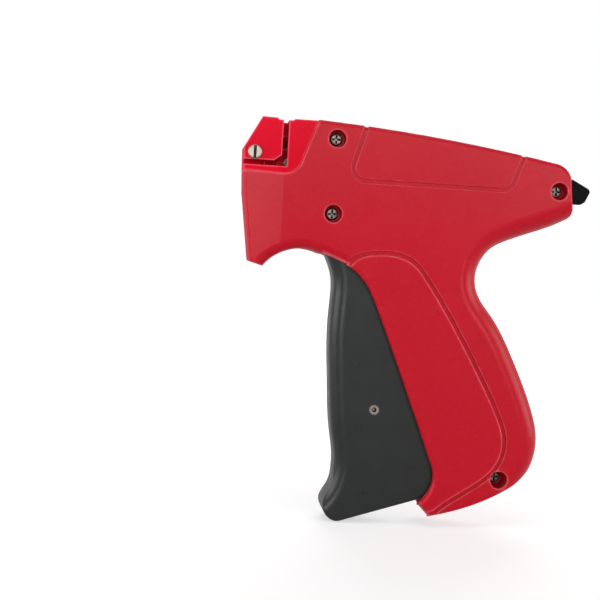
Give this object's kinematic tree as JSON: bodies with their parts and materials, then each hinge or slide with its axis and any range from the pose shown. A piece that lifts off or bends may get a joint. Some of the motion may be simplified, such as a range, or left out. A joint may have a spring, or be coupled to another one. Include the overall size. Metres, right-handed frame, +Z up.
{
  "type": "garment tag attacher",
  "caption": "Pistol-grip garment tag attacher: a long trigger in a moulded grip drives a lever, slide and push rod that sends clip-fed plastic fasteners out through a needle socket.",
  "frame": {"origin": "centre of the needle socket's mouth, on the axis of the ejector rod", "axes": "-X is forward, the way the needle points; +X is towards the tail; +Z is up, away from the grip; +Y is the tool's right-hand side; the housing halves meet at y = 0"},
  "size_m": [0.147, 0.026, 0.1663],
  "materials": {
    "red_plastic": "semi-gloss moulded ABS",
    "nose_plastic": "glossy moulded plastic",
    "grey_plastic": "satin dark grey moulded plastic",
    "black_plastic": "satin black plastic",
    "white_plastic": "natural acetal",
    "steel": "bright zinc-plated steel",
    "spring_steel": "oiled spring steel",
    "brass": "turned brass"
  },
  "bodies": {
    "housing": {"housing_left": "red_plastic", "housing_right": "red_plastic", "housing_screws": "steel", "nose_block": "nose_plastic", "cutter_blade": "steel", "lever_pin": "steel", "rod_guide": "brass", "feed_axle": "steel", "feed_cover": "nose_plastic", "pawl_pin": "steel", "detent_spring": "spring_steel", "hang_eye": "black_plastic", "return_spring": "spring_steel"},
    "trigger": {"trigger": "grey_plastic", "trigger_pin": "steel"},
    "cam_roller": {"cam_roller": "white_plastic"},
    "drive_lever": {"drive_lever": "white_plastic"},
    "slide": {"slide": "white_plastic", "slide_pin": "steel", "ejector_rod": "steel"},
    "needle_lock": {"needle_lock": "steel"},
    "feed_wheel": {"feed_wheel": "white_plastic"},
    "feed_pawl": {"feed_pawl": "steel"}
  },
  "joints": [
    {"name": "trigger_squeeze", "type": "hinge", "parent": "housing", "child": "trigger", "pos_m": [0.03784, 0, -0.01924], "axis": [0, -1, 0], "range_deg": [0, 16], "stiffness_Nm_per_rad": 3, "springref_deg": -5.73},
    {"name": "roller_spin", "type": "hinge", "parent": "trigger", "child": "cam_roller", "pos_m": [0.0602, 0, -0.0997], "axis": [0, -1, 0], "continuous": true},
    {"name": "lever_swing", "type": "hinge", "parent": "housing", "child": "drive_lever", "pos_m": [0.0905, 0, -0.064], "axis": [0, -1, 0], "range_deg": [0, 39.22]},
    {"name": "slide_travel", "type": "slide", "parent": "housing", "child": "slide", "axis": [-1, 0, 0], "range_m": [0, 0.0456], "deforming": ["return_spring"]},
    {"name": "needle_lock_turn", "type": "hinge", "parent": "housing", "child": "needle_lock", "pos_m": [0.00448, 0, 0.00418], "axis": [0, 1, 0], "range_deg": [0, 180]},
    {"name": "feed_wheel_spin", "type": "hinge", "parent": "housing", "child": "feed_wheel", "pos_m": [0.0235, 0.0041, 0.0094], "axis": [1, 0, 0], "continuous": true},
    {"name": "feed_pawl_lift", "type": "hinge", "parent": "housing", "child": "feed_pawl", "pos_m": [0.0235, -0.0032, 0.0119], "axis": [1, 0, 0], "range_deg": [0, 8]}
  ],
  "couplings": [
    {"joint": "lever_swing", "follows": "trigger_squeeze", "ratio": 2.4486},
    {"joint": "slide_travel", "follows": "trigger_squeeze", "m_per_rad": 0.16313},
    {"joint": "feed_pawl_lift", "follows": "trigger_squeeze", "ratio": 0.5}
  ]
}
